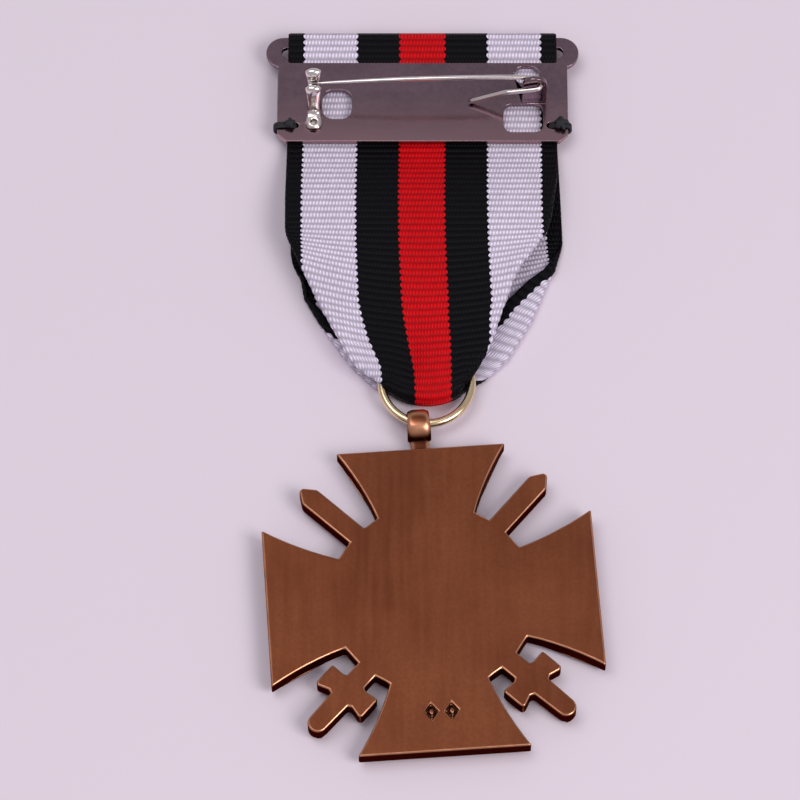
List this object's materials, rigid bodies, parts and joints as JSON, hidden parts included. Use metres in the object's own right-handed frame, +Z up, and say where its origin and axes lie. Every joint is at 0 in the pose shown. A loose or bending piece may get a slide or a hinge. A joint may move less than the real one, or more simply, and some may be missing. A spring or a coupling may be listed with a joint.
{
  "type": "medal",
  "caption": "Cross-shaped award with crossed swords, plain back up, on a striped ribbon folded through a ring, with a stamped bar and a brooch pin.",
  "frame": {"origin": "middle of the footprint, on the surface that the medal lies face down on", "axes": "+X to the right across the bar, +Y from the cross towards the bar, +Z up, out of the medal's back"},
  "size_m": [0.039, 0.0938, 0.008],
  "materials": {
    "bronze": "aged bronze, satin, with bright copper edges",
    "bar_metal": "dark satin nickel plate",
    "nickel": "bright nickel wire",
    "gold": "polished pale gold",
    "ribbon": "ribbed weave in black, white and red stripes",
    "thread": "black cotton"
  },
  "bodies": {
    "bar": {"back_plate": "bar_metal", "catch": "nickel", "catch_rivet": "nickel", "ribbon_upper": "ribbon", "stitch_left": "thread", "stitch_right": "thread"},
    "pin": {"brooch_pin": "nickel"},
    "strap": {"ribbon_lower": "ribbon"},
    "ring": {"ring": "gold"},
    "cross": {"cross": "bronze", "eyelet": "bronze"}
  },
  "joints": [
    {"name": "pin_open", "type": "hinge", "parent": "bar", "child": "pin", "pos_m": [0.01303, 0.03723, 0.00665], "axis": [0, 1, 0], "range_deg": [0, 100]},
    {"name": "ribbon_flex", "type": "hinge", "parent": "bar", "child": "strap", "pos_m": [-0.00087, 0.03178, 0.00076], "axis": [-1, 0, 0], "range_deg": [-30, 35]},
    {"name": "ring_turn", "type": "hinge", "parent": "strap", "child": "ring", "pos_m": [-0.00047, -0.00007, 0.00195], "axis": [0, 0, 1], "range_deg": [-12, 12]},
    {"name": "cross_swing", "type": "hinge", "parent": "ring", "child": "cross", "pos_m": [-0.00146, -0.00517, 0.00195], "axis": [0.9975, 0.0708, 0], "range_deg": [-90, 90]}
  ]
}
